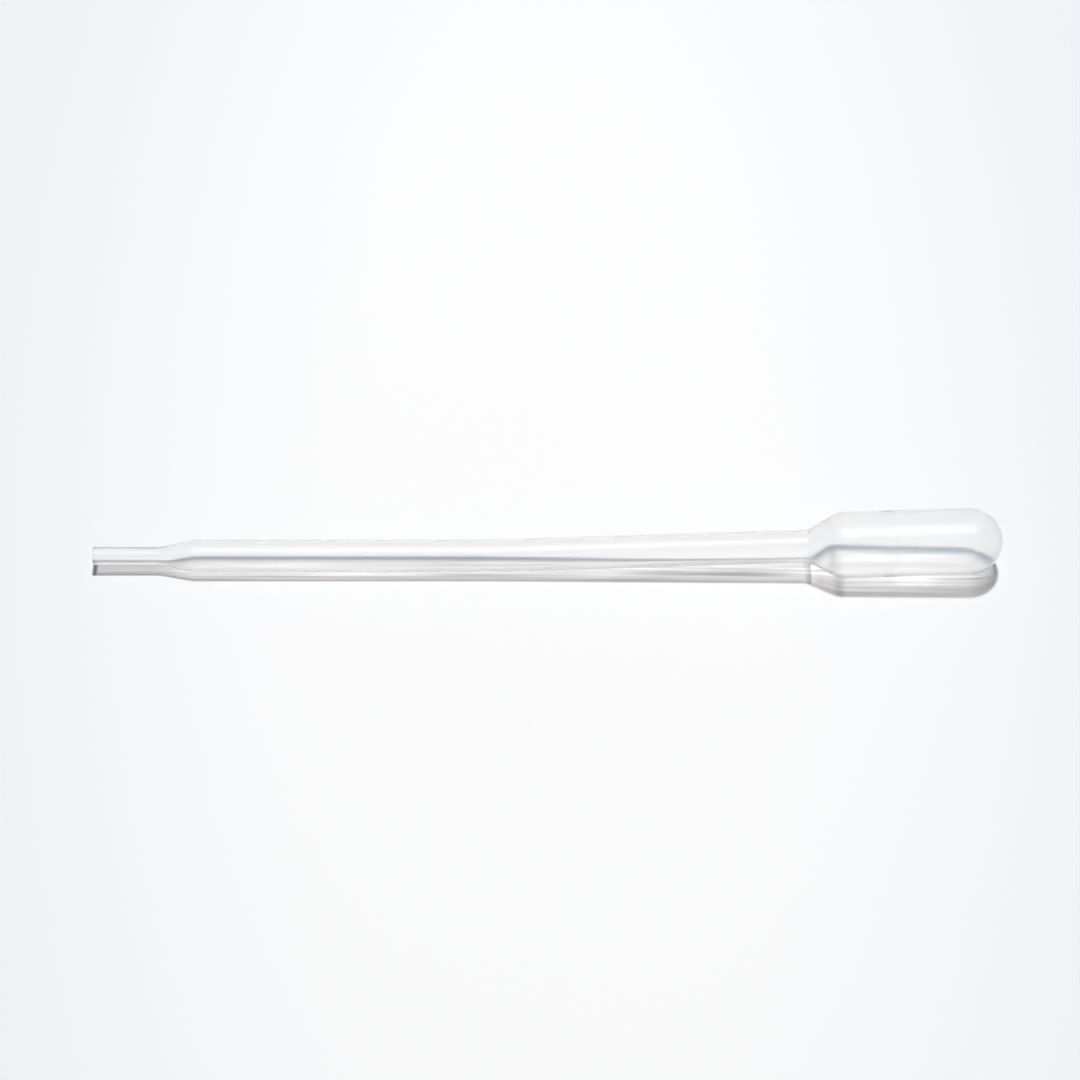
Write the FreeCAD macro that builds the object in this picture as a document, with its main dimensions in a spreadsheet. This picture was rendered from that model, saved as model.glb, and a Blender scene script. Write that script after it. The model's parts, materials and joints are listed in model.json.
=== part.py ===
# Plastic dropper pipette: one blow-moulded tube of soft polyethylene with a narrow tip, a stem
# that bows very slightly, a cone-shaped shoulder and a squeeze bulb with a round end. It is open
# only at the cut end of the tip, and hollow all the way to the bulb's end.
#
# It lies on its side as it comes to rest. The stem runs along X with the tip towards -X. The
# bow lifts the bulb end by just so much that stem and bulb touch the ground together.

import FreeCAD, Part
import Sketcher
import math
import os

NODE = "pipette"

# Millimetres. Lengths run along the centre line, from the tip to the bulb.
SIZES = [
    ("tip_length", 11.2, "straight tip, from its cut end to the flare"),
    ("tip_diameter", 3.0, "outside of the tip"),
    ("tip_bore", 1.6, "hole in the tip"),
    ("flare_length", 5.3, "cone between the tip and the stem"),
    ("flare_blend", 4.0, "radius that rounds both ends of the flare"),
    ("stem_diameter", 5.4, "outside of the stem"),
    ("stem_wall", 0.8, "wall of the stem"),
    ("stem_before_bow", 40.9, "straight stem between the flare and the bow"),
    ("bow_radius", 340.0, "radius of the stem's slight bow"),
    ("stem_after_bow", 44.5, "straight stem between the bow and the shoulder"),
    ("neck_blend", 1.0, "radius where the stem meets the shoulder"),
    ("shoulder_length", 5.0, "cone between the stem and the bulb"),
    ("shoulder_blend", 3.5, "radius where the shoulder meets the bulb"),
    ("bulb_diameter", 11.0, "outside of the bulb"),
    ("bulb_wall", 0.6, "wall of the bulb and of its round end"),
    ("bulb_length", 21.4, "straight part of the bulb, without its round end"),
]

# Expressions that several features share. All of them read only the sheet.
TIP_RADIUS = "sizes.tip_diameter / 2"
BORE_RADIUS = "sizes.tip_bore / 2"
STEM_RADIUS = "sizes.stem_diameter / 2"
STEM_BORE_RADIUS = f"{STEM_RADIUS} - sizes.stem_wall"
BULB_RADIUS = "sizes.bulb_diameter / 2"
BULB_BORE_RADIUS = f"{BULB_RADIUS} - sizes.bulb_wall"
FLARE_END = "sizes.tip_length + sizes.flare_length"
BOW_START = f"{FLARE_END} + sizes.stem_before_bow"
SHOULDER_END = "sizes.stem_after_bow + sizes.shoulder_length"
DOME_CENTRE = f"{SHOULDER_END} + sizes.bulb_length"

# The bow turns the bulb's end up until the rounded shoulder stands on the same ground as the
# stem. Seen from the bow's centre, the round of the shoulder lies at a run along the tilted
# stem and at a reach across it, and the ground lies at the stem's own reach.
SHOULDER_SLOPE = f"atan(({BULB_RADIUS} - {STEM_RADIUS}) / sizes.shoulder_length)"
SHOULDER_RUN = f"({SHOULDER_END} + sizes.shoulder_blend * tan({SHOULDER_SLOPE} / 2))"
SHOULDER_REACH = f"(sizes.bow_radius + {BULB_RADIUS} - sizes.shoulder_blend)"
GROUND_REACH = f"(sizes.bow_radius + {STEM_RADIUS} - sizes.shoulder_blend)"
BOW_ANGLE = (
    f"atan({SHOULDER_REACH} / {SHOULDER_RUN})"
    f" - asin({GROUND_REACH} / sqrt({SHOULDER_RUN}^2 + {SHOULDER_REACH}^2))"
)


def make_sheet(doc):
    """Puts every driving size in a spreadsheet, each under its own name."""
    sheet = doc.addObject("Spreadsheet::Sheet", "sizes")
    for row, (alias, value, meaning) in enumerate(SIZES, start=1):
        sheet.set(f"A{row}", meaning)
        sheet.set(f"B{row}", str(value))
        sheet.setAlias(f"B{row}", alias)
    doc.recompute()
    return sheet


def add_sketch(body, name, plane_role):
    """Adds a sketch that lies on one of the body's own origin planes."""
    sketch = body.newObject("Sketcher::SketchObject", name)
    plane = next(item for item in body.Origin.OriginFeatures if item.Role == plane_role)
    sketch.AttachmentSupport = [(plane, "")]
    sketch.MapMode = "FlatFace"
    return sketch


def value_of(sketch, expression):
    """Works out an expression on the sheet as a plain number."""
    result = sketch.evalExpression(expression)
    return float(getattr(result, "Value", result))


def bind(sketch, kind, references, name, expression):
    """Adds a named sketch dimension and ties it to an expression."""
    start = value_of(sketch, expression)
    if kind == "Angle":
        start = math.radians(start)
    index = sketch.addConstraint(Sketcher.Constraint(kind, *references, start))
    sketch.renameConstraint(index, name)
    sketch.setExpression(f"Constraints.{name}", expression)


def place_point(sketch, point, name, along, across):
    """Dimensions a sketch point from the sketch's origin. An along of 0 puts it on the V axis."""
    if along == "0":
        sketch.addConstraint(Sketcher.Constraint("PointOnObject", *point, -2))
    else:
        bind(sketch, "DistanceX", (-1, 1, *point), f"{name}_along", along)
    bind(sketch, "DistanceY", (-1, 1, *point), f"{name}_radius", across)


def draw_rounded_line(sketch, corners):
    """Draws straight lines from corner to corner and rounds the corners that have a radius.

    Each corner is (name, along, across, radius), the last three being expressions. The first
    and the last corner are sharp. A rounded corner keeps a construction point where its lines
    would meet, and the dimensions are on that point. Returns the numbers of the first and the
    last line.
    """
    spots = [
        FreeCAD.Vector(value_of(sketch, along), value_of(sketch, across), 0)
        for _, along, across, _ in corners
    ]
    runs = [end - start for start, end in zip(spots, spots[1:])]
    turns = [math.atan2(a.x * b.y - a.y * b.x, a.dot(b)) for a, b in zip(runs, runs[1:])]
    radii = [value_of(sketch, corner[3]) for corner in corners[1:-1]]
    cuts = [0] + [radius * math.tan(abs(turn) / 2) for radius, turn in zip(radii, turns)] + [0]

    lines = []
    for index, run in enumerate(runs):
        along = FreeCAD.Vector(run).normalize()
        start = spots[index] + along * cuts[index]
        end = spots[index + 1] - along * cuts[index + 1]
        lines.append(sketch.addGeometry(Part.LineSegment(start, end), False))

    place_point(sketch, (lines[0], 1), corners[0][0], *corners[0][1:3])
    place_point(sketch, (lines[-1], 2), corners[-1][0], *corners[-1][1:3])
    for index, (name, along, across, radius) in enumerate(corners[1:-1]):
        before, after = lines[index], lines[index + 1]
        left_turn = turns[index] > 0
        heading = FreeCAD.Vector(runs[index]).normalize()
        side = FreeCAD.Vector(-heading.y, heading.x, 0) * (1 if left_turn else -1)
        touch = spots[index + 1] - heading * cuts[index + 1]
        centre = touch + side * radii[index]
        angle = math.atan2(-side.y, -side.x)
        span = sorted((angle, angle + turns[index]))
        circle = Part.Circle(centre, FreeCAD.Vector(0, 0, 1), radii[index])
        arc = sketch.addGeometry(Part.ArcOfCircle(circle, *span), False)
        first, last = (1, 2) if left_turn else (2, 1)
        sketch.addConstraint(Sketcher.Constraint("Tangent", before, 2, arc, first))
        sketch.addConstraint(Sketcher.Constraint("Tangent", arc, last, after, 1))
        meeting = sketch.addGeometry(Part.Point(spots[index + 1]), True)
        sketch.addConstraint(Sketcher.Constraint("PointOnObject", meeting, 1, before))
        sketch.addConstraint(Sketcher.Constraint("PointOnObject", meeting, 1, after))
        place_point(sketch, (meeting, 1), name, along, across)
        bind(sketch, "Radius", (arc,), f"{name}_blend", radius)
    return lines[0], lines[-1]


def close_gap(sketch, start, end):
    """Joins two line ends, each given as (line, end), by one straight line."""
    spots = [sketch.getPoint(*start), sketch.getPoint(*end)]
    line = sketch.addGeometry(Part.LineSegment(*spots), False)
    sketch.addConstraint(Sketcher.Constraint("Coincident", *start, line, 1))
    sketch.addConstraint(Sketcher.Constraint("Coincident", *end, line, 2))


def draw_dome(sketch, name, outer_line, line_end, radius):
    """Draws a quarter circle from a bulb line's end to the axis. Returns its number."""
    start = sketch.getPoint(outer_line, line_end)
    centre = FreeCAD.Vector(start.x, 0, 0)
    circle = Part.Circle(centre, FreeCAD.Vector(0, 0, 1), value_of(sketch, radius))
    arc = sketch.addGeometry(Part.ArcOfCircle(circle, 0, math.pi / 2), False)
    sketch.addConstraint(Sketcher.Constraint("Tangent", outer_line, line_end, arc, 2))
    sketch.addConstraint(Sketcher.Constraint("PointOnObject", arc, 1, -1))
    sketch.addConstraint(Sketcher.Constraint("PointOnObject", arc, 3, -1))
    return arc


def make_centre_line(body):
    """The centre line: straight stem, gentle bow, straight stem and bulb.

    The other features read the bow's angle and where it ends from this sketch.
    """
    sketch = add_sketch(body, "centre_line", "XZ_Plane")
    start_x = value_of(sketch, BOW_START)
    radius = value_of(sketch, "sizes.bow_radius")
    angle = math.radians(value_of(sketch, BOW_ANGLE))
    run = value_of(sketch, DOME_CENTRE)
    bow_centre = FreeCAD.Vector(start_x, radius, 0)
    bow_start = FreeCAD.Vector(start_x, 0, 0)
    bow_end = bow_centre + FreeCAD.Vector(math.sin(angle), -math.cos(angle), 0) * radius
    run_end = bow_end + FreeCAD.Vector(math.cos(angle), math.sin(angle), 0) * run
    before = sketch.addGeometry(Part.LineSegment(FreeCAD.Vector(), bow_start), False)
    circle = Part.Circle(bow_centre, FreeCAD.Vector(0, 0, 1), radius)
    arc_span = (-math.pi / 2, -math.pi / 2 + angle)
    bow = sketch.addGeometry(Part.ArcOfCircle(circle, *arc_span), False)
    after = sketch.addGeometry(Part.LineSegment(bow_end, run_end), False)

    sketch.addConstraint(Sketcher.Constraint("Coincident", before, 1, -1, 1))
    sketch.addConstraint(Sketcher.Constraint("PointOnObject", before, 2, -1))
    sketch.addConstraint(Sketcher.Constraint("Tangent", before, 2, bow, 1))
    sketch.addConstraint(Sketcher.Constraint("Tangent", bow, 2, after, 1))
    bind(sketch, "Distance", (before,), "bow_start", BOW_START)
    bind(sketch, "Radius", (bow,), "bow_radius", "sizes.bow_radius")
    bind(sketch, "Angle", (bow,), "bow_angle", BOW_ANGLE)
    bind(sketch, "Distance", (after,), "bulb_run", DOME_CENTRE)
    for name, kind, point in (
        ("bow_end_along", "DistanceX", bow),
        ("bow_end_up", "DistanceY", bow),
        ("dome_along", "DistanceX", after),
    ):
        index = sketch.addConstraint(Sketcher.Constraint(kind, -1, 1, point, 2, 0.0))
        sketch.setDriving(index, False)
        sketch.renameConstraint(index, name)
    return sketch


def add_revolution(body, name, sketch, axis, angle):
    """Turns a sketch about one of its own axes and adds the result to the body."""
    revolution = body.newObject("PartDesign::Revolution", name)
    revolution.Profile = sketch
    revolution.ReferenceAxis = (sketch, [axis])
    revolution.Angle = 360
    if angle:
        revolution.setExpression("Angle", angle)
    return revolution


def make_tip_and_stem(body):
    """Tip, flare and the stem up to the bow, as one wall turned about the X axis."""
    sketch = add_sketch(body, "tip_wall", "XZ_Plane")
    outside = draw_rounded_line(sketch, [
        ("tip_mouth", "0", TIP_RADIUS, "0"),
        ("flare_start", "sizes.tip_length", TIP_RADIUS, "sizes.flare_blend"),
        ("flare_end", FLARE_END, STEM_RADIUS, "sizes.flare_blend"),
        ("stem_end", BOW_START, STEM_RADIUS, "0"),
    ])
    inside = draw_rounded_line(sketch, [
        ("bore_mouth", "0", BORE_RADIUS, "0"),
        ("bore_flare_start", "sizes.tip_length", BORE_RADIUS, "sizes.flare_blend"),
        ("bore_flare_end", FLARE_END, STEM_BORE_RADIUS, "sizes.flare_blend"),
        ("bore_end", BOW_START, STEM_BORE_RADIUS, "0"),
    ])
    close_gap(sketch, (outside[0], 1), (inside[0], 1))
    close_gap(sketch, (outside[1], 2), (inside[1], 2))
    return add_revolution(body, "tip_and_stem", sketch, "H_Axis", None)


def make_bow(body):
    """The slight bow: the stem's ring turned about a far axis by the bow's angle."""
    sketch = add_sketch(body, "stem_ring", "YZ_Plane")
    sketch.setExpression("AttachmentOffset.Base.z", BOW_START)
    for name, radius in (("outside", STEM_RADIUS), ("inside", STEM_BORE_RADIUS)):
        circle = Part.Circle(FreeCAD.Vector(), FreeCAD.Vector(0, 0, 1), value_of(sketch, radius))
        ring = sketch.addGeometry(circle, False)
        sketch.addConstraint(Sketcher.Constraint("Coincident", ring, 3, -1, 1))
        bind(sketch, "Radius", (ring,), name, radius)
    height = value_of(sketch, "sizes.bow_radius")
    half = value_of(sketch, STEM_RADIUS)
    ends = [FreeCAD.Vector(half, height, 0), FreeCAD.Vector(-half, height, 0)]
    axis = sketch.addGeometry(Part.LineSegment(*ends), True)
    sketch.addConstraint(Sketcher.Constraint("Symmetric", axis, 1, axis, 2, -2))
    bind(sketch, "DistanceX", (axis, 2, axis, 1), "axis_length", "sizes.stem_diameter")
    bind(sketch, "DistanceY", (-1, 1, axis, 1), "bow_radius", "sizes.bow_radius")
    return add_revolution(body, "bow", sketch, "Axis0", "centre_line.Constraints.bow_angle")


def make_bulb(body):
    """Stem beyond the bow, shoulder and bulb, as one wall turned about the tilted axis."""
    sketch = add_sketch(body, "bulb_wall", "XZ_Plane")
    sketch.setExpression("AttachmentOffset.Base.x", "centre_line.Constraints.bow_end_along")
    sketch.setExpression("AttachmentOffset.Base.y", "centre_line.Constraints.bow_end_up")
    sketch.setExpression("AttachmentOffset.Rotation.Angle", "centre_line.Constraints.bow_angle")
    outside = draw_rounded_line(sketch, [
        ("stem_start", "0", STEM_RADIUS, "0"),
        ("neck", "sizes.stem_after_bow", STEM_RADIUS, "sizes.neck_blend"),
        ("shoulder", SHOULDER_END, BULB_RADIUS, "sizes.shoulder_blend"),
        ("dome_start", DOME_CENTRE, BULB_RADIUS, "0"),
    ])
    inside = draw_rounded_line(sketch, [
        ("bore_start", "0", STEM_BORE_RADIUS, "0"),
        ("bore_neck", "sizes.stem_after_bow", STEM_BORE_RADIUS,
         "sizes.neck_blend + sizes.stem_wall"),
        ("bore_shoulder", SHOULDER_END, BULB_BORE_RADIUS,
         "sizes.shoulder_blend - sizes.bulb_wall"),
        ("bore_dome", DOME_CENTRE, BULB_BORE_RADIUS, "0"),
    ])
    close_gap(sketch, (outside[0], 1), (inside[0], 1))
    outer_dome = draw_dome(sketch, "dome", outside[1], 2, BULB_RADIUS)
    inner_dome = draw_dome(sketch, "bore_dome", inside[1], 2, BULB_BORE_RADIUS)
    close_gap(sketch, (outer_dome, 1), (inner_dome, 1))
    return add_revolution(body, "bulb", sketch, "H_Axis", None)


def main():
    """Builds the pipette, checks it and writes its solid."""
    os.makedirs("parts", exist_ok=True)
    doc = FreeCAD.newDocument("dropper_pipette")
    make_sheet(doc)
    body = doc.addObject("PartDesign::Body", NODE)
    body.Label = NODE
    doc.recompute()
    make_centre_line(body)
    doc.recompute()
    make_tip_and_stem(body)
    doc.recompute()
    make_bow(body)
    doc.recompute()
    make_bulb(body)
    doc.recompute()

    # The part's origin is under the middle of its length, on the ground.
    reach = f"centre_line.Constraints.dome_along + {BULB_RADIUS} * 1 mm"
    body.setExpression("Placement.Base.x", f"-({reach}) / 2")
    body.setExpression("Placement.Base.z", STEM_RADIUS)
    doc.recompute()

    for item in doc.Objects:
        if "Invalid" in item.State or "Error" in item.State:
            raise RuntimeError(f"{item.Name} failed: {item.State}")
    if body.Shape.isNull() or not body.Shape.isValid() or len(body.Shape.Solids) != 1:
        raise RuntimeError(f"{NODE} is not one valid solid")
    body.Shape.exportStep(os.path.join("parts", f"{NODE}.step"))
    box = body.Shape.optimalBoundingBox(False)
    print(f"{NODE}: volume {body.Shape.Volume:.1f} mm3, {box.XLength:.2f} x"
          f" {box.YLength:.2f} x {box.ZLength:.2f} mm, lowest point {box.ZMin:.4f}")


main()
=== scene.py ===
"""Looks of the plastic dropper pipette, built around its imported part.

One piece of soft, see-through polyethylene stands for the CAD node: a tube with two walls, from
the cut end of the tip to the round end of the bulb. All lengths are in metres.
"""

import json
import logging
import math
from dataclasses import dataclass
from enum import Enum

import bmesh
import bpy
from mathutils import Matrix, Vector, noise


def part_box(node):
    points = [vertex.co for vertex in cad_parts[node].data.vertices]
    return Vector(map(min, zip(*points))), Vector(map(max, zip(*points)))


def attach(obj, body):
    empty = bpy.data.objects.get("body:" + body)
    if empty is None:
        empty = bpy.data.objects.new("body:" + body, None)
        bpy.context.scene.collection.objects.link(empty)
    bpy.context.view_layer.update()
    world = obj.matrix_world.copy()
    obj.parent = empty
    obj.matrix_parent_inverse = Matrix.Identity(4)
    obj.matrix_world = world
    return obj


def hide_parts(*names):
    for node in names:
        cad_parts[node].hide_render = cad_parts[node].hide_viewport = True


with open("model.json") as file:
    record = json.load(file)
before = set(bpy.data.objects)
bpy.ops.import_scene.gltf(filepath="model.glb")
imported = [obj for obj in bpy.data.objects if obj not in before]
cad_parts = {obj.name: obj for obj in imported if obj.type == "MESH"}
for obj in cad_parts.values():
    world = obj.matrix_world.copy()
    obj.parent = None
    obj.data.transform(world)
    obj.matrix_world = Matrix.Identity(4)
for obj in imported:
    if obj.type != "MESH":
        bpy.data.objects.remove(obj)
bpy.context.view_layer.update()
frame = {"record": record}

MM = 0.001
BODY = "root"
NODE = "pipette"
ROUND_PLACE = "round_place"
HOLLOW_SHARE = "hollow_share"

# Finer steps in the draw lines, and the noise levels at which a line is thinnest and thickest.
LINE_DETAIL = 2.0
LINE_LEVELS = (0.36, 0.64)

# Places across the tube that take in all of it.
WHOLE_WIDTH = (-2.0, 2.0)

Colour = tuple[float, float, float]
Paint = tuple[float, float, float, float]
Stops = tuple[tuple[float, float], ...]

log = logging.getLogger("pipette")


class Wall(Enum):
    """The two faces of the moulded wall."""

    OUTSIDE = "outside"
    INSIDE = "inside"


class Blend(Enum):
    """What a Mix node mixes, with the numbers of its two inputs and its output."""

    VECTOR = (4, 5, 1)
    RGBA = (6, 7, 2)


@dataclass(frozen=True)
class Corner:
    """A corner of the wall's half section.

    Attributes:
        along: Place along the centre line, from the tip's cut end.
        radius: Distance from the centre line.
        blend: Radius that rounds the corner, or 0 for a sharp one.
    """

    along: float
    radius: float
    blend: float = 0.0


def mount_radius(record: dict, name: str) -> float:
    """Reads the radius of one of the part's mounts.

    Args:
        record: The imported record.
        name: The mount's name.

    Returns:
        The radius in metres.
    """
    mount = next(m for m in record["mounts"] if m["name"] == name)
    return mount["dims"]["r_mm"] * MM


@dataclass(frozen=True)
class Moulding:
    """Driving sizes of the moulded tube.

    Attributes:
        tip_radius: Outside radius of the tip.
        bore_radius: Radius of the bore in the tip.
        stem_radius: Outside radius of the stem.
        bulb_radius: Outside radius of the bulb and its round end.
        tip_length: Length of the straight tip.
        flare_length: Length over which the tip widens to the stem.
        flare_blend: Radius that rounds both ends of the flare.
        stem_wall: Thickness of the stem's wall.
        stem_before_bow: Length of the straight stem between the flare and the bow.
        bow_radius: Radius of the stem's slight bow.
        stem_after_bow: Length of the straight stem between the bow and the neck.
        neck_blend: Radius that rounds the neck, where the stem meets the shoulder.
        shoulder_length: Length over which the stem widens to the bulb.
        shoulder_blend: Radius that rounds the shoulder's end.
        bulb_wall: Thickness of the bulb's wall.
        bulb_length: Length of the straight bulb.
        cut_blend: Radius that rounds the edges of the cut end.
        insert_edge: Distance from the tip to the faint ring round the bulb.
        edge_height: Height of that ring.
        edge_width: Width of that ring.
    """

    tip_radius: float
    bore_radius: float
    stem_radius: float
    bulb_radius: float
    tip_length: float = 11.2 * MM
    flare_length: float = 5.3 * MM
    flare_blend: float = 4.0 * MM
    stem_wall: float = 0.8 * MM
    stem_before_bow: float = 40.9 * MM
    bow_radius: float = 340.0 * MM
    stem_after_bow: float = 44.5 * MM
    neck_blend: float = 1.0 * MM
    shoulder_length: float = 5.0 * MM
    shoulder_blend: float = 3.5 * MM
    bulb_wall: float = 0.6 * MM
    bulb_length: float = 21.4 * MM
    cut_blend: float = 0.06 * MM
    insert_edge: float = 132.6 * MM
    edge_height: float = 0.04 * MM
    edge_width: float = 0.25 * MM

    @classmethod
    def from_frame(cls, record: dict) -> "Moulding":
        """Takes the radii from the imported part. The other sizes repeat those of its source.

        Args:
            record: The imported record.

        Returns:
            The moulding's sizes.
        """
        low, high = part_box(NODE)
        return cls(
            tip_radius=mount_radius(record, "tip_outside"),
            bore_radius=mount_radius(record, "tip_bore"),
            stem_radius=mount_radius(record, "stem_outside"),
            bulb_radius=(high.y - low.y) / 2,
        )

    @property
    def flare_end(self) -> float:
        """Place along the centre line where the flare has become the stem."""
        return self.tip_length + self.flare_length

    @property
    def bow_start(self) -> float:
        """Place along the centre line where the bow starts."""
        return self.flare_end + self.stem_before_bow

    @property
    def bow_angle(self) -> float:
        """Turn of the bow, by which stem and shoulder stand on the ground together.

        Returns:
            The turn in radians.
        """
        slope = math.atan2(self.bulb_radius - self.stem_radius, self.shoulder_length)
        run = self.stem_after_bow + self.shoulder_length + self.shoulder_blend * math.tan(slope / 2)
        reach = self.bow_radius + self.bulb_radius - self.shoulder_blend
        ground = self.bow_radius + self.stem_radius - self.shoulder_blend
        return math.atan2(reach, run) - math.asin(ground / math.hypot(run, reach))

    @property
    def bow_length(self) -> float:
        """Length of the bow along the centre line."""
        return self.bow_radius * self.bow_angle

    @property
    def neck(self) -> float:
        """Place along the centre line where the stem meets the shoulder."""
        return self.bow_start + self.bow_length + self.stem_after_bow

    @property
    def shoulder_end(self) -> float:
        """Place along the centre line where the shoulder meets the bulb."""
        return self.neck + self.shoulder_length

    @property
    def dome_centre(self) -> float:
        """Place along the centre line of the round end's centre."""
        return self.shoulder_end + self.bulb_length

    @property
    def straights(self) -> tuple[float, float, float]:
        """Places along the centre line within the tip, the stem and the bulb."""
        return (self.tip_length / 2, self.bow_start, self.dome_centre)

    def hollow_share(self, along: float) -> float:
        """Finds the inside's share of the radius at a distance from the tip."""
        return self.radius_at(Wall.INSIDE, along) / self.radius_at(Wall.OUTSIDE, along)

    def corners(self, wall: Wall) -> list[Corner]:
        """Lists the corners of one face of the wall, from the tip to the round end.

        Args:
            wall: Which face.

        Returns:
            The corners in order.
        """
        if wall is Wall.OUTSIDE:
            tip, stem, bulb = self.tip_radius, self.stem_radius, self.bulb_radius
        else:
            tip = self.bore_radius
            stem = self.stem_radius - self.stem_wall
            bulb = self.bulb_radius - self.bulb_wall
        return [
            Corner(0.0, tip),
            Corner(self.tip_length, tip, self.flare_blend),
            Corner(self.flare_end, stem, self.flare_blend),
            Corner(self.neck, stem, self.neck_blend),
            Corner(self.shoulder_end, bulb, self.shoulder_blend),
            *(self.edge_ridge() if wall is Wall.OUTSIDE else []),
            Corner(self.dome_centre, bulb),
        ]

    def edge_ridge(self) -> list[Corner]:
        """Lists the corners of the faint ring that the edge of a mould insert leaves.

        Returns:
            The corners in order.
        """
        return [
            Corner(self.insert_edge + shift * self.edge_width, self.bulb_radius + height)
            for shift, height in ((-0.5, 0.0), (0.0, self.edge_height), (0.5, 0.0))
        ]

    def radius_at(self, wall: Wall, along: float) -> float:
        """Finds the radius of one face of the wall, without its rounded corners.

        Args:
            wall: Which face.
            along: Distance along the centre line. From the dome's centre on, the dome's own
                radius holds.

        Returns:
            The radius.
        """
        corners = self.corners(wall)
        for start, end in zip(corners, corners[1:]):
            if along <= end.along:
                part = (along - start.along) / (end.along - start.along)
                return start.radius + (end.radius - start.radius) * part
        return corners[-1].radius

    def centre_at(self, along: float) -> tuple[Vector, float]:
        """Finds the bent centre line's point and slope at a distance from the tip.

        Args:
            along: Distance along the centre line.

        Returns:
            The point, with the tip's cut end at the origin, and the slope in radians.
        """
        turn = min(max((along - self.bow_start) / self.bow_radius, 0.0), self.bow_angle)
        after = max(along - self.bow_start - self.bow_length, 0.0)
        before = min(along, self.bow_start)
        return (
            Vector(
                (
                    before + self.bow_radius * math.sin(turn) + after * math.cos(turn),
                    0.0,
                    self.bow_radius * (1 - math.cos(turn)) + after * math.sin(turn),
                )
            ),
            turn,
        )


@dataclass(frozen=True)
class Tree:
    """The nodes of a material, a node group or the world, with short ways to add and join them.

    Attributes:
        graph: The node tree.
    """

    graph: bpy.types.NodeTree

    def add(self, kind: str, **settings: object) -> bpy.types.Node:
        """Adds a node.

        Args:
            kind: The node's type, without its leading "ShaderNode".
            settings: Properties of the node to set.

        Returns:
            The new node.
        """
        node = self.graph.nodes.new(f"ShaderNode{kind}")
        for name, value in settings.items():
            setattr(node, name, value)
        return node

    def join(self, source: bpy.types.NodeSocket, target: bpy.types.NodeSocket) -> None:
        """Links an output to an input."""
        self.graph.links.new(source, target)

    def feed(
        self, target: bpy.types.NodeSocket, term: bpy.types.NodeSocket | Paint | float
    ) -> None:
        """Links an output to an input, or sets the input to a number or colour.

        Args:
            target: The input.
            term: The output, number or colour.
        """
        if isinstance(term, bpy.types.NodeSocket):
            self.join(term, target)
        else:
            target.default_value = term

    def math(self, operation: str, *terms: bpy.types.NodeSocket | float) -> bpy.types.NodeSocket:
        """Adds one step of arithmetic.

        Args:
            operation: The node's operation.
            terms: Numbers or outputs, in the operation's order.

        Returns:
            The result's output.
        """
        node = self.add("Math", operation=operation)
        for socket, term in zip(node.inputs, terms):
            self.feed(socket, term)
        return node.outputs["Value"]

    def curve(
        self, value: bpy.types.NodeSocket, stops: list[tuple[float, Colour]]
    ) -> bpy.types.NodeSocket:
        """Adds a curve of straight runs from stop to stop.

        Args:
            value: The output to look up.
            stops: Pairs of value and colour, in order.

        Returns:
            The colour's output.
        """
        (low, first), *between, (high, last) = stops
        node = self.add("ValToRGB")
        elements = node.color_ramp.elements
        elements[0].color = (*first, 1.0)
        elements[1].color = (*last, 1.0)
        for place, colour in between:
            elements.new((place - low) / (high - low)).color = (*colour, 1.0)
        self.join(self.between(value, low, high), node.inputs["Fac"])
        return node.outputs["Color"]

    def between(
        self,
        value: bpy.types.NodeSocket,
        low: float,
        high: float,
        at_low: float = 0.0,
        at_high: float = 1.0,
    ) -> bpy.types.NodeSocket:
        """Adds a clamped straight run from one level to another.

        Args:
            value: The output to look up.
            low: The value at which the run starts.
            high: The value at which it ends.
            at_low: The level up to the start.
            at_high: The level from the end on.

        Returns:
            The level's output.
        """
        node = self.add("MapRange")
        for name, number in (
            ("From Min", low),
            ("From Max", high),
            ("To Min", at_low),
            ("To Max", at_high),
        ):
            node.inputs[name].default_value = number
        self.join(value, node.inputs["Value"])
        return node.outputs["Result"]

    def product(self, *colours: bpy.types.NodeSocket) -> bpy.types.NodeSocket:
        """Multiplies colours or numbers.

        Args:
            colours: The outputs to multiply.

        Returns:
            The product's output.
        """
        result, *others = colours
        for colour in others:
            node = self.add("VectorMath", operation="MULTIPLY")
            self.join(result, node.inputs[0])
            self.join(colour, node.inputs[1])
            result = node.outputs["Vector"]
        return result

    def mix(
        self,
        kind: Blend,
        share: bpy.types.NodeSocket,
        first: bpy.types.NodeSocket | Paint,
        second: bpy.types.NodeSocket | Paint,
    ) -> bpy.types.NodeSocket:
        """Adds a mix of two colours.

        Args:
            kind: What the node mixes.
            share: The second colour's share.
            first: The first colour.
            second: The second colour.

        Returns:
            The mix's output.
        """
        first_input, second_input, output = kind.value
        node = self.add("Mix", data_type=kind.name)
        self.join(share, node.inputs["Factor"])
        self.feed(node.inputs[first_input], first)
        self.feed(node.inputs[second_input], second)
        return node.outputs[output]

    def mix_shaders(
        self,
        share: bpy.types.NodeSocket,
        first: bpy.types.NodeSocket,
        second: bpy.types.NodeSocket,
    ) -> bpy.types.NodeSocket:
        """Adds a mix of two shaders.

        Args:
            share: The second shader's share.
            first: The first shader.
            second: The second shader.

        Returns:
            The mix's output.
        """
        node = self.add("MixShader")
        for socket, source in zip(node.inputs, (share, first, second)):
            self.join(source, socket)
        return node.outputs["Shader"]


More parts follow.
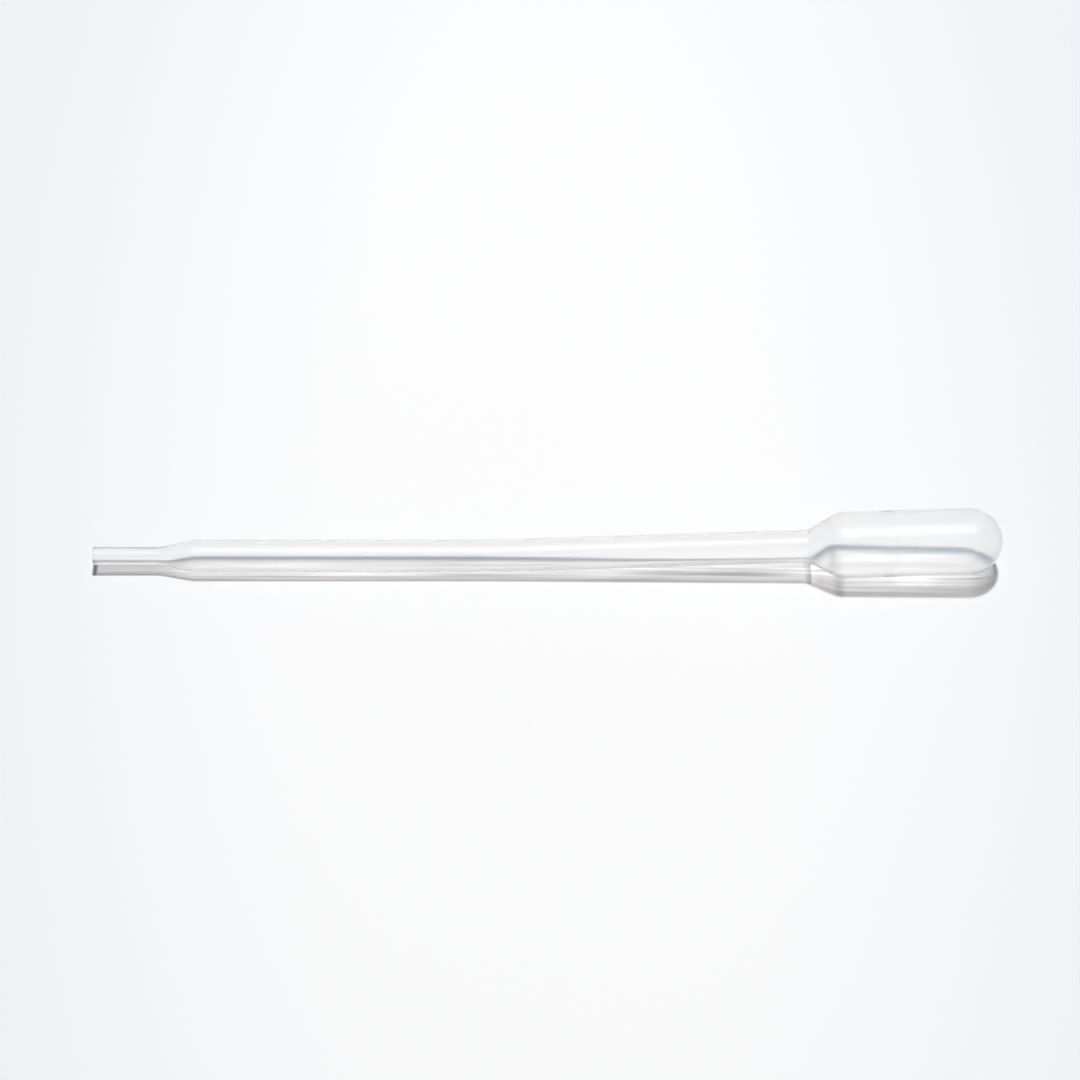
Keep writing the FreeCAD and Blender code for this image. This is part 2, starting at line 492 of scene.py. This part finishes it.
def draw_lines_group() -> bpy.types.ShaderNodeTree:
    """Makes the fine lengthwise lines that a drawn and blown tube has.

    Returns:
        A group with the inputs Place (direction round the tube and distance along it), Count
        (lines round the tube, about) and Length (of a line), and the output Lines from 0 to 1.
    """
    group = bpy.data.node_groups.new("draw_lines", "ShaderNodeTree")
    group.interface.new_socket("Place", in_out="INPUT", socket_type="NodeSocketVector")
    group.interface.new_socket("Count", in_out="INPUT", socket_type="NodeSocketFloat")
    group.interface.new_socket("Length", in_out="INPUT", socket_type="NodeSocketFloat")
    group.interface.new_socket("Lines", in_out="OUTPUT", socket_type="NodeSocketFloat")
    tree = Tree(group)
    given = group.nodes.new("NodeGroupInput")
    result = group.nodes.new("NodeGroupOutput")
    stretch = tree.add("CombineXYZ")
    across = tree.math("DIVIDE", given.outputs["Count"], math.tau)
    tree.join(across, stretch.inputs["X"])
    tree.join(across, stretch.inputs["Y"])
    tree.join(tree.math("DIVIDE", 1.0, given.outputs["Length"]), stretch.inputs["Z"])
    scaled = tree.add("VectorMath", operation="MULTIPLY")
    tree.join(given.outputs["Place"], scaled.inputs[0])
    tree.join(stretch.outputs["Vector"], scaled.inputs[1])
    streaks = tree.add("TexNoise")
    streaks.inputs["Scale"].default_value = 1.0
    streaks.inputs["Detail"].default_value = LINE_DETAIL
    tree.join(scaled.outputs["Vector"], streaks.inputs["Vector"])
    tree.join(tree.between(streaks.outputs["Fac"], *LINE_LEVELS), result.inputs["Lines"])
    return group


@dataclass(frozen=True)
class Patch:
    """A patch of the tube that dims or brightens a lamp's light, and has no shape of its own.

    Attributes:
        across: Places across the tube between which it lies, from -1 at the near side to 1 at
            the far side.
        along: Distances from the tip between which it lies.
        gain: Factor on the light that passes there.
        softness: How far its sides reach beyond those places.
        taper: How far its ends reach beyond those distances.
    """

    across: tuple[float, float]
    along: tuple[float, float]
    gain: float
    softness: float = 0.05
    taper: float = 0.3 * MM

    def build(
        self, tree: Tree, across: bpy.types.NodeSocket, along: bpy.types.NodeSocket
    ) -> bpy.types.NodeSocket:
        """Adds the patch.

        Args:
            tree: The material's nodes.
            across: Place across the tube.
            along: Distance along the centre line.

        Returns:
            The output of the patch's gain, which is 1 beside it.
        """
        within = tree.product(
            *(
                tree.between(place, end - reach, end + reach, level, 1.0 - level)
                for place, ends, reach in (
                    (across, self.across, self.softness),
                    (along, self.along, self.taper),
                )
                for end, level in zip(ends, (0.0, 1.0))
            )
        )
        return tree.between(within, 0.0, 1.0, 1.0, self.gain)


@dataclass(frozen=True)
class ClearPolyethylene:
    """Soft polyethylene, see-through and faintly milky.

    The renderer doesn't follow a lamp's light as the wall bends it. So the shares of that light
    that pass, their powers and the patches are fitted to how such a tube's shadow looks under a
    lamp nearly overhead. They aren't worked out from the plastic.

    Attributes:
        sizes: Sizes of the piece that is made of it.
        tint: Colour of the plastic, both of its haze and of the light that passes it.
        ior: Index of refraction.
        inside_ior: Index of refraction given to the inside. It is lower than the plastic's, so
            that the tube's lower edge doesn't turn dark.
        clarity: Share of the light that isn't scattered as haze.
        mirror: Colour of the sharp mirror images, which a soft skin keeps faint.
        roughness: Roughness of both faces.
        soft_roughness: Roughness for the light that the milky skin spreads.
        soft_share: Share of that light.
        gloss_roughness: Roughness of the outside's shine.
        line_count: Draw lines round the tube, about.
        line_length: Length of a draw line.
        line_depth: Depth of the draw lines.
        line_shade: How much a draw line dims or brightens the light that passes it.
        inside_passes: Share of a lamp's light that passes the inside face, for each colour.
        stem_passes: Share of a lamp's light that passes the outside face of the stem, as pairs
            of place and share. The place runs across the tube, from -1 at the near side to 1 at
            the far side.
        bulb_passes: The same for the bulb, whose wall is thin.
        tip_passes: Share of the stem's light that passes the tip.
        cut_shade: Length of the tip's end through which hardly any light passes.
        far_side: Place across the tube at which the far side starts.
        near_powers: Powers of the share that give its red, green and blue before the far side.
        far_powers: The same for the far side.
    """

    sizes: Moulding
    tint: Paint = (0.991, 0.99, 0.989, 1.0)
    ior: float = 1.51
    inside_ior: float = 1.3
    clarity: float = 0.95
    mirror: Paint = (0.3, 0.3, 0.3, 1.0)
    roughness: float = 0.08
    soft_roughness: float = 0.3
    soft_share: float = 0.3
    gloss_roughness: float = 0.2
    line_count: float = 64.0
    line_length: float = 25.0 * MM
    line_depth: float = 0.002 * MM
    line_shade: float = 0.28
    inside_passes: Paint = (0.995, 0.995, 0.995, 1.0)
    stem_passes: Stops = (
        (-1.0, 0.51),
        (-0.92, 0.55),
        (-0.82, 0.66),
        (-0.74, 0.71),
        (-0.66, 0.70),
        (-0.54, 0.80),
        (-0.40, 0.86),
        (-0.20, 0.90),
        (0.02, 0.86),
        (0.30, 0.78),
        (0.48, 0.82),
        (0.60, 0.76),
        (0.70, 0.52),
        (0.77, 0.26),
        (0.85, 0.12),
        (0.91, 0.36),
        (0.96, 0.80),
        (1.0, 0.90),
    )
    bulb_passes: Stops = (
        (-1.0, 0.60),
        (-0.88, 0.63),
        (-0.77, 0.66),
        (-0.70, 0.70),
        (-0.61, 0.74),
        (-0.41, 0.76),
        (-0.14, 0.81),
        (0.20, 0.90),
        (0.36, 0.88),
        (0.56, 0.88),
        (0.68, 0.95),
        (0.75, 0.94),
        (0.81, 0.89),
        (0.86, 0.74),
        (0.91, 0.40),
        (0.96, 0.18),
        (1.0, 0.18),
    )
    tip_passes: float = 0.80
    cut_shade: float = 0.48 * MM
    far_side: float = 0.76
    near_powers: Colour = (0.955, 1.005, 1.035)
    far_powers: Colour = (1.42, 0.93, 0.70)

    def build(self, wall: Wall) -> bpy.types.Material:
        """Makes the material of one face of the wall.

        Args:
            wall: Which face.

        Returns:
            The finished material.
        """
        material = bpy.data.materials.new(f"clear_polyethylene_{wall.value}")
        material.use_nodes = True
        material.node_tree.nodes.clear()
        tree = Tree(material.node_tree)
        place = tree.add("Attribute", attribute_name=ROUND_PLACE).outputs["Vector"]
        lines = self.draw_lines(tree, place)
        either = tree.mix_shaders(
            tree.add("LightPath").outputs["Is Shadow Ray"],
            self.plastic(tree, wall, lines),
            self.shadow(tree, wall, place, lines),
        )
        tree.join(either, tree.add("OutputMaterial").inputs["Surface"])
        return material

    def draw_lines(self, tree: Tree, place: bpy.types.NodeSocket) -> bpy.types.NodeSocket:
        """Adds the draw lines.

        Args:
            tree: The material's nodes.
            place: Direction round the tube and distance along it.

        Returns:
            The output of the lines, from 0 to 1.
        """
        lines = tree.add("Group")
        lines.node_tree = bpy.data.node_groups.get("draw_lines") or draw_lines_group()
        lines.inputs["Count"].default_value = self.line_count
        lines.inputs["Length"].default_value = self.line_length
        tree.join(place, lines.inputs["Place"])
        return lines.outputs["Lines"]

    def plastic(
        self, tree: Tree, wall: Wall, lines: bpy.types.NodeSocket
    ) -> bpy.types.NodeSocket:
        """Adds the shader that the eye sees.

        Args:
            tree: The material's nodes.
            wall: Which face. The milky skin spreads part of the light that enters outside.
            lines: The draw lines.

        Returns:
            The shader's output.
        """
        bump = tree.add("Bump")
        bump.inputs["Distance"].default_value = self.line_depth
        tree.join(lines, bump.inputs["Height"])
        clear = self.clear(tree, wall, self.roughness, bump.outputs["Normal"])
        if wall is Wall.INSIDE:
            return clear
        soft = self.clear(tree, wall, self.soft_roughness, bump.outputs["Normal"])
        back = tree.add("NewGeometry").outputs["Backfacing"]
        return tree.mix_shaders(tree.between(back, 0.0, 1.0, self.soft_share, 0.0), clear, soft)

    def clear(
        self, tree: Tree, wall: Wall, roughness: float, normal: bpy.types.NodeSocket
    ) -> bpy.types.NodeSocket:
        """Adds one see-through lobe.

        Args:
            tree: The material's nodes.
            wall: Which face. Only the outside has the mould's polish.
            roughness: How much the lobe spreads the light.
            normal: The face's normal, with its draw lines.

        Returns:
            The shader's output.
        """
        shader = tree.add("BsdfPrincipled")
        shader.inputs["Base Color"].default_value = self.tint
        shader.inputs["Roughness"].default_value = roughness
        shader.inputs["IOR"].default_value = self.ior if wall is Wall.OUTSIDE else self.inside_ior
        shader.inputs["Specular Tint"].default_value = self.mirror
        shader.inputs["Transmission Weight"].default_value = self.clarity
        if wall is Wall.OUTSIDE:
            shader.inputs["Coat Weight"].default_value = 1.0
            shader.inputs["Coat Roughness"].default_value = self.gloss_roughness
        tree.join(normal, shader.inputs["Normal"])
        return shader.outputs["BSDF"]

    def shadow(
        self,
        tree: Tree,
        wall: Wall,
        place: bpy.types.NodeSocket,
        lines: bpy.types.NodeSocket,
    ) -> bpy.types.NodeSocket:
        """Adds the shader that a lamp's rays meet on their way to the floor.

        A real wall turns away the light that passes beside the hollow, so its shadow has dark
        rims and a pale middle. Here the fitted shares give both.

        Args:
            tree: The material's nodes.
            wall: Which face.
            place: Direction round the tube and distance along it.
            lines: The draw lines.

        Returns:
            The shader's output.
        """
        shader = tree.add("BsdfTransparent")
        if wall is Wall.INSIDE:
            shader.inputs["Color"].default_value = self.inside_passes
            return shader.outputs["BSDF"]
        parts = tree.add("SeparateXYZ")
        tree.join(place, parts.inputs["Vector"])
        across = self.place_across(tree, parts.outputs["X"])
        hollow = tree.add("Attribute", attribute_name=HOLLOW_SHARE).outputs["Fac"]
        tip, stem, bulb = (self.sizes.hollow_share(along) for along in self.sizes.straights)
        passes = tree.mix(
            Blend.VECTOR,
            tree.between(hollow, stem, bulb),
            tree.curve(across, self.coloured(self.stem_passes)),
            tree.curve(across, self.coloured(self.bulb_passes)),
        )
        colour = tree.product(
            passes,
            tree.between(hollow, tip, stem, self.tip_passes, 1.0),
            tree.between(lines, 0.0, 1.0, 1.0 - self.line_shade, 1.0 + self.line_shade),
            *(patch.build(tree, across, parts.outputs["Z"]) for patch in self.patches()),
        )
        tree.join(colour, shader.inputs["Color"])
        return shader.outputs["BSDF"]

    @staticmethod
    def place_across(tree: Tree, side: bpy.types.NodeSocket) -> bpy.types.NodeSocket:
        """Adds how far beside the centre line a lamp's ray meets the tube.

        Facing is one minus the cosine of the angle between the ray and the skin, and the sine of
        that angle is the distance from the centre line as a share of the radius.

        Args:
            tree: The material's nodes.
            side: A number that is positive on the tube's far side and negative on its near side.

        Returns:
            The output, from -1 at the near side to 1 at the far side.
        """
        facing = tree.add("LayerWeight").outputs["Facing"]
        cosine = tree.math("SUBTRACT", 1.0, facing)
        sine = tree.math("SQRT", tree.math("SUBTRACT", 1.0, tree.math("MULTIPLY", cosine, cosine)))
        return tree.math("MULTIPLY", sine, tree.math("SIGN", side))

    def patches(self) -> tuple[Patch, ...]:
        """Lists the patches that dim or brighten the light.

        Returns:
            The patches, from the tip to the round end.
        """
        sizes = self.sizes
        neck, shoulder, edge = sizes.neck, sizes.shoulder_end, sizes.insert_edge
        dome, end = sizes.dome_centre, sizes.bulb_radius
        # Painted shade: the dark shadow of the tip's cut end.
        cut = Patch(
            across=WHOLE_WIDTH,
            along=(-1.0 * MM, self.cut_shade),
            gain=0.0,
            taper=0.06 * MM,
        )
        # Painted shade: a dark streak in the stem's shadow. The wall has no mark there.
        dark_shadow_streak = Patch(
            across=(-0.47, -0.1),
            along=(neck - 29.0 * MM, neck - 5.0 * MM),
            gain=0.6,
            taper=5.0 * MM,
        )
        # Painted light: a paler stretch of the stem's shadow before the neck. The plastic is no
        # clearer there.
        paler_shadow_stretch = Patch(
            across=(0.0, 0.68),
            along=(neck - 34.0 * MM, neck),
            gain=1.07,
            taper=8.0 * MM,
        )
        # Painted shade and painted light: a dark line and then a glow in the shadow at the neck.
        neck_line = Patch(
            across=WHOLE_WIDTH,
            along=(neck + 0.35 * MM, neck + 0.7 * MM),
            gain=0.5,
            taper=0.08 * MM,
        )
        neck_glow = Patch(
            across=WHOLE_WIDTH,
            along=(neck + 0.85 * MM, neck + 1.6 * MM),
            gain=1.14,
            taper=0.1 * MM,
        )
        # Painted shade: a dark line in the shadow at the shoulder's end.
        shoulder_line = Patch(
            across=WHOLE_WIDTH,
            along=(shoulder - 0.2 * MM, shoulder + 1.0 * MM),
            gain=0.7,
            taper=0.4 * MM,
        )
        # Painted shade: a faint line in the shadow at the ring round the bulb.
        insert_line = Patch(
            across=WHOLE_WIDTH,
            along=(edge - 0.1 * MM, edge + 0.15 * MM),
            gain=0.88,
            taper=0.1 * MM,
        )
        # Painted light: a brighter patch in the bulb's shadow. The wall is no thinner there.
        bright_shadow_patch = Patch(
            across=(-0.6, -0.1),
            along=(edge + 0.3 * MM, edge + 6.7 * MM),
            gain=1.1,
        )
        # Painted shade: a darker shadow under the round end.
        round_end = Patch(
            across=WHOLE_WIDTH,
            along=(dome + 0.5 * end, dome + 2.0 * end),
            gain=0.75,
            taper=0.5 * end,
        )
        return (
            cut,
            dark_shadow_streak,
            paler_shadow_stretch,
            neck_line,
            neck_glow,
            shoulder_line,
            insert_line,
            bright_shadow_patch,
            round_end,
        )

    def coloured(self, stops: Stops) -> list[tuple[float, Colour]]:
        """Turns shares of light into colours.

        Args:
            stops: Pairs of place and share.

        Returns:
            Pairs of place and colour.
        """
        coloured = []
        for place, share in stops:
            powers = self.far_powers if place > self.far_side else self.near_powers
            coloured.append((place, tuple(share**power for power in powers)))
        return coloured


@dataclass
class MouldedTube:
    """The whole pipette: tip, flare, stem, shoulder and bulb, one wall all along.

    Attributes:
        sizes: The driving sizes.
        finish: What it is made of.
        around: Faces round the tube.
        ring_gap: Longest face along the tube.
        blend_steps: Faces in a rounded corner.
        dome_steps: Faces from the dome's rim to its pole.
        line_gap: Distance between the inside's uneven lines.
        line_length: Length of such a line.
        line_depth: Depth of such a line.
        even_pole: Share of the bore's radius within which the dome's pole stays even.
        merge_gap: Distance under which points of the turned wall are merged.
    """

    sizes: Moulding
    finish: ClearPolyethylene
    around: int = 384
    ring_gap: float = 3.0 * MM
    blend_steps: int = 6
    dome_steps: int = 28
    line_gap: float = 1.5 * MM
    line_length: float = 120.0 * MM
    line_depth: float = 0.02 * MM
    even_pole: float = 0.5
    merge_gap: float = 0.001 * MM

    def build(self) -> bpy.types.Object:
        """Builds the piece, puts it in place and dresses it.

        Returns:
            The finished piece.
        """
        mesh = bmesh.new()
        rims = [self.draw_wall(mesh, wall) for wall in Wall]
        mouth = mesh.edges.new(rims)
        self.round_corners(mesh, {rim: self.sizes.cut_blend for rim in mouth.verts})
        self.split_long_runs(mesh)
        self.turn(mesh)
        self.mark_walls(mesh)
        self.thin_walls(mesh)
        self.bend(mesh)
        data = bpy.data.meshes.new("pipette_tube")
        mesh.to_mesh(data)
        mesh.free()
        piece = bpy.data.objects.new("pipette_tube", data)
        bpy.context.scene.collection.objects.link(piece)
        data.shade_smooth()
        for wall in Wall:
            data.materials.append(self.finish.build(wall))
        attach(piece, BODY)
        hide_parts(NODE)
        return piece

    def draw_wall(self, mesh: bmesh.types.BMesh, wall: Wall) -> bmesh.types.BMVert:
        """Draws one face of the wall as a line from the tip to the dome's pole.

        Args:
            mesh: The mesh to draw in.
            wall: Which face.

        Returns:
            The line's end at the tip's mouth.
        """
        corners = self.sizes.corners(wall)
        spots = [mesh.verts.new((c.along, 0.0, c.radius)) for c in corners]
        for pair in zip(spots, spots[1:]):
            mesh.edges.new(pair)
        bmesh.ops.spin(
            mesh,
            geom=[spots[-1]],
            cent=(self.sizes.dome_centre, 0.0, 0.0),
            axis=(0.0, 1.0, 0.0),
            angle=math.pi / 2,
            steps=self.dome_steps,
        )
        self.round_corners(
            mesh,
            {
                spot: corner.blend * math.tan(self.turn_at(corners, index) / 2)
                for index, (spot, corner) in enumerate(zip(spots, corners))
                if corner.blend
            },
        )
        return spots[0]

    @staticmethod
    def turn_at(corners: list[Corner], index: int) -> float:
        """Finds how far a line turns at one of its corners.

        Args:
            corners: The line's corners.
            index: Which one.

        Returns:
            The turn in radians, never negative.
        """
        slopes = [
            math.atan2(end.radius - start.radius, end.along - start.along)
            for start, end in zip(corners[index - 1 : index + 1], corners[index : index + 2])
        ]
        return abs(slopes[1] - slopes[0])

    def round_corners(self, mesh: bmesh.types.BMesh, cuts: dict[bmesh.types.BMVert, float]) -> None:
        """Rounds corners of a line.

        Args:
            mesh: The mesh that holds the line.
            cuts: How far each corner is cut back along its lines.
        """
        for spot, cut in cuts.items():
            bmesh.ops.bevel(
                mesh,
                geom=[spot],
                offset=cut,
                offset_type="OFFSET",
                segments=self.blend_steps,
                profile=0.5,
                affect="VERTICES",
                material=-1,
            )

    def split_long_runs(self, mesh: bmesh.types.BMesh) -> None:
        """Splits long lines evenly, so that the tube can bend.

        Args:
            mesh: The mesh that holds the lines.
        """
        for edge in list(mesh.edges):
            cuts = math.ceil(edge.calc_length() / self.ring_gap) - 1
            if cuts > 0:
                bmesh.ops.subdivide_edges(mesh, edges=[edge], cuts=cuts)

    def turn(self, mesh: bmesh.types.BMesh) -> None:
        """Turns the drawn half section about the centre line into a closed wall.

        Args:
            mesh: The mesh that holds the lines.
        """
        bmesh.ops.spin(
            mesh,
            geom=list(mesh.verts) + list(mesh.edges),
            cent=(0.0, 0.0, 0.0),
            axis=(1.0, 0.0, 0.0),
            angle=math.tau,
            steps=self.around,
            use_merge=True,
        )
        bmesh.ops.remove_doubles(mesh, verts=list(mesh.verts), dist=self.merge_gap)
        bmesh.ops.recalc_face_normals(mesh, faces=list(mesh.faces))

    def mark_walls(self, mesh: bmesh.types.BMesh) -> None:
        """Gives each point its place on the wall, and each face its wall's material.

        Args:
            mesh: The straight tube.
        """
        place = mesh.verts.layers.float_vector.new(ROUND_PLACE)
        share = mesh.verts.layers.float.new(HOLLOW_SHARE)
        for vertex in mesh.verts:
            spot = vertex.co
            round_way = Vector((spot.y, spot.z)).normalized()
            vertex[place] = (round_way.x, round_way.y, spot.x)
            vertex[share] = self.sizes.hollow_share(spot.x)
        for face in mesh.faces:
            if self.is_inside(face.calc_center_median()):
                face.material_index = list(Wall).index(Wall.INSIDE)

    def is_inside(self, spot: Vector) -> bool:
        """Tells whether a point of the straight tube lies nearer the inside than the outside.

        Args:
            spot: The point.

        Returns:
            Whether it lies on the inside.
        """
        middle = sum(self.sizes.radius_at(wall, spot.x) for wall in Wall) / 2
        beyond = max(spot.x - self.sizes.dome_centre, 0.0)
        return math.hypot(beyond, spot.y, spot.z) < middle

    def thin_walls(self, mesh: bmesh.types.BMesh) -> None:
        """Makes the wall's inside slightly uneven, in long lines, as blowing leaves it.

        Args:
            mesh: The straight tube.
        """
        pole = self.even_pole * self.sizes.bore_radius
        for vertex in mesh.verts:
            spot = vertex.co
            radius = math.hypot(spot.y, spot.z)
            if radius < pole or not self.is_inside(spot):
                continue
            here = Vector((spot.x / self.line_length, *(spot.yz / self.line_gap)))
            fade = min(spot.x / self.sizes.tip_length, 1.0)
            growth = 1.0 + noise.noise(here) * self.line_depth * fade / radius
            spot.y *= growth
            spot.z *= growth

    def bend(self, mesh: bmesh.types.BMesh) -> None:
        """Bends the straight tube along the bowed centre line and lays it in the part's place.

        Args:
            mesh: The straight tube.
        """
        start = Vector((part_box(NODE)[0].x, 0.0, self.sizes.stem_radius))
        for vertex in mesh.verts:
            centre, slope = self.sizes.centre_at(vertex.co.x)
            across = Vector((0.0, vertex.co.y, vertex.co.z))
            vertex.co = start + centre + Matrix.Rotation(-slope, 3, "Y") @ across


@dataclass(frozen=True)
class Lamp:
    """A round or oblong lamp that looks at the object.

    Attributes:
        name: The lamp's name.
        elevation: Elevation of the lamp, which stands behind the object.
        size: Diameter of a round lamp, or width of an oblong one.
        radiance: Brightness, where 1 is as bright as white paper.
        on_matt: Whether it lights matt surfaces.
        on_gloss: Whether it shines in glossy surfaces.
        length: Length along the object, or 0 for a round lamp.
        bearing: How far the lamp is turned to the right from straight behind the object.
        distance: Distance from the object.
    """

    name: str
    elevation: float
    size: float
    radiance: float
    on_matt: bool
    on_gloss: bool
    length: float = 0.0
    bearing: float = 0.0
    distance: float = 1.0

    def build(self) -> None:
        """Hangs the lamp. Its power is its radiance times pi times its area."""
        lamp = bpy.data.lights.new(self.name, "AREA")
        lamp.shape = "RECTANGLE" if self.length else "DISK"
        lamp.size = self.length or self.size
        lamp.size_y = self.size
        area = self.length * self.size or math.pi * (self.size / 2) ** 2
        lamp.energy = self.radiance * math.pi * area
        holder = bpy.data.objects.new(self.name, lamp)
        flat = math.cos(self.elevation)
        aside, behind = flat * math.sin(self.bearing), flat * math.cos(self.bearing)
        towards = Vector((aside, behind, math.sin(self.elevation)))
        holder.location = towards * self.distance
        holder.rotation_euler = towards.to_track_quat("Z", "Y").to_euler()
        holder.visible_diffuse = self.on_matt
        holder.visible_glossy = self.on_gloss
        holder.visible_transmission = False
        bpy.context.scene.collection.objects.link(holder)


@dataclass(frozen=True)
class Studio:
    """White floor, one small lamp nearly overhead, and even light from all round.

    Attributes:
        floor_size: Length of the floor's sides.
        floor_colour: Colour of the floor round the object.
        floor_edge_shade: Painted shade: the floor's darker, bluer tone at the picture's sides.
        floor_fade: Distances to the left and right between which one becomes the other.
        floor_stretch: How fast that goes towards the front and back, where 1 is as fast.
        lamp_share: Share of the floor's light that comes from the small lamp.
        lamp_size: Diameter of the small lamp for each unit of its distance.
        lamp_distance: Distance of the small lamp.
        lamp_elevation: Elevation of the small lamp.
        lamp_bearing: How far it is turned to the right.
        box_size: Width of the soft lamp that shines in the skin.
        box_length: Length of the soft lamp.
        box_elevation: Elevation of the soft lamp.
        box_radiance: Brightness of the soft lamp.
        room: Brightness of the room that the plastic mirrors and bends.
    """

    floor_size: float = 1.6
    floor_colour: Paint = (0.98, 0.983, 0.991, 1.0)
    floor_edge_shade: Paint = (0.865, 0.885, 0.915, 1.0)
    floor_fade: tuple[float, float] = (0.03, 0.12)
    floor_stretch: float = 0.35
    lamp_share: float = 0.85
    lamp_size: float = 0.096
    lamp_distance: float = 2.0
    lamp_elevation: float = math.radians(79.6)
    lamp_bearing: float = math.radians(15.9)
    box_size: float = 0.6
    box_length: float = 0.9
    box_elevation: float = math.radians(86.0)
    box_radiance: float = 2.2
    room: float = 0.95

    def build(self) -> None:
        """Builds the floor, the lamps and the world's light.

        The small lamp is a disc, whose share of the floor's light is its radiance times the
        square of its radius for each unit of its distance.
        """
        self.lay_floor()
        Lamp(
            name="small_lamp",
            elevation=self.lamp_elevation,
            size=self.lamp_size * self.lamp_distance,
            radiance=self.lamp_share / (self.lamp_size / 2) ** 2,
            on_matt=True,
            on_gloss=False,
            bearing=self.lamp_bearing,
            distance=self.lamp_distance,
        ).build()
        Lamp(
            name="soft_lamp",
            elevation=self.box_elevation,
            size=self.box_size,
            radiance=self.box_radiance,
            on_matt=False,
            on_gloss=True,
            length=self.box_length,
        ).build()
        self.fill_light()

    def lay_floor(self) -> None:
        """Lays the floor under the object."""
        mesh = bmesh.new()
        bmesh.ops.create_grid(mesh, x_segments=1, y_segments=1, size=self.floor_size / 2)
        data = bpy.data.meshes.new("floor")
        mesh.to_mesh(data)
        mesh.free()
        floor = bpy.data.objects.new("floor", data)
        bpy.context.scene.collection.objects.link(floor)
        data.materials.append(self.paper())

    def paper(self) -> bpy.types.Material:
        """Makes the floor's matt white paper, a little darker towards the sides.

        Returns:
            The finished material.
        """
        paper = bpy.data.materials.new("floor_paper")
        paper.use_nodes = True
        tree = Tree(paper.node_tree)
        surface = paper.node_tree.nodes["Principled BSDF"]
        surface.inputs["Roughness"].default_value = 1.0
        surface.inputs["Specular IOR Level"].default_value = 0.0
        squeezed = tree.add("Mapping")
        squeezed.inputs["Scale"].default_value = (1.0, self.floor_stretch, 1.0)
        tree.join(tree.add("TexCoord").outputs["Object"], squeezed.inputs["Vector"])
        away = tree.add("VectorMath", operation="LENGTH")
        tree.join(squeezed.outputs["Vector"], away.inputs[0])
        fade = tree.add("MapRange", interpolation_type="SMOOTHSTEP")
        near, far = self.floor_fade
        fade.inputs["From Min"].default_value = near
        fade.inputs["From Max"].default_value = far
        tree.join(away.outputs["Value"], fade.inputs["Value"])
        # Painted shade: the paper turns darker and bluer towards the sides, standing in for light
        # that falls off there.
        colour = tree.mix(
            Blend.RGBA, fade.outputs["Result"], self.floor_colour, self.floor_edge_shade
        )
        tree.join(colour, surface.inputs["Base Color"])
        return paper

    def fill_light(self) -> None:
        """Lights matt surfaces from all round, and gives the plastic a pale room to mirror.

        Rays from a matt surface find what the small lamp's share leaves over. All other rays
        find the room.
        """
        world = bpy.data.worlds.new("studio")
        world.use_nodes = True
        tree = Tree(world.node_tree)
        sky = world.node_tree.nodes["Background"]
        sky.inputs["Color"].default_value = (1.0, 1.0, 1.0, 1.0)
        depth = tree.add("LightPath").outputs["Diffuse Depth"]
        level = tree.between(depth, 0.0, 1.0, self.room, 1.0 - self.lamp_share)
        tree.join(level, sky.inputs["Strength"])
        world.cycles.sampling_method = "NONE"
        bpy.context.scene.world = world


@dataclass(frozen=True)
class Viewpoint:
    """Where the camera stands and what it takes in.

    Attributes:
        elevation: Angle above the floor.
        distance: Distance to the point it looks at.
        view_width: Width that it takes in at that distance.
        aside: How far the point it looks at lies to the left of the object's middle.
        beyond: How far that point lies behind the stem's centre line, on the floor.
        nearest: Distance from which on the camera sees things.
    """

    elevation: float = math.radians(50.0)
    distance: float = 0.5
    view_width: float = 180.8 * MM
    aside: float = 1.1 * MM
    beyond: float = 5.71 * MM
    nearest: float = 10.0 * MM

    def build(self) -> None:
        """Sets up the camera."""
        camera = bpy.data.cameras.new("camera")
        camera.lens = camera.sensor_width * self.distance / self.view_width
        camera.clip_start = self.nearest
        holder = bpy.data.objects.new("camera", camera)
        towards = Vector((0.0, -math.cos(self.elevation), math.sin(self.elevation)))
        target = Vector((-self.aside, self.beyond, 0.0))
        holder.location = target + towards * self.distance
        holder.rotation_euler = towards.to_track_quat("Z", "Y").to_euler()
        bpy.context.scene.collection.objects.link(holder)
        bpy.context.scene.camera = holder


def main() -> None:
    """Builds the pipette, the studio and the camera in order."""
    logging.basicConfig(level=logging.INFO, format="%(name)s: %(message)s")
    sizes = Moulding.from_frame(frame["record"])
    tube = MouldedTube(sizes, ClearPolyethylene(sizes)).build()
    log.info("%s: %d faces", tube.name, len(tube.data.polygons))
    Studio().build()
    Viewpoint().build()
    bpy.context.scene.view_settings.view_transform = "Standard"


if __name__ == "__main__":
    main()
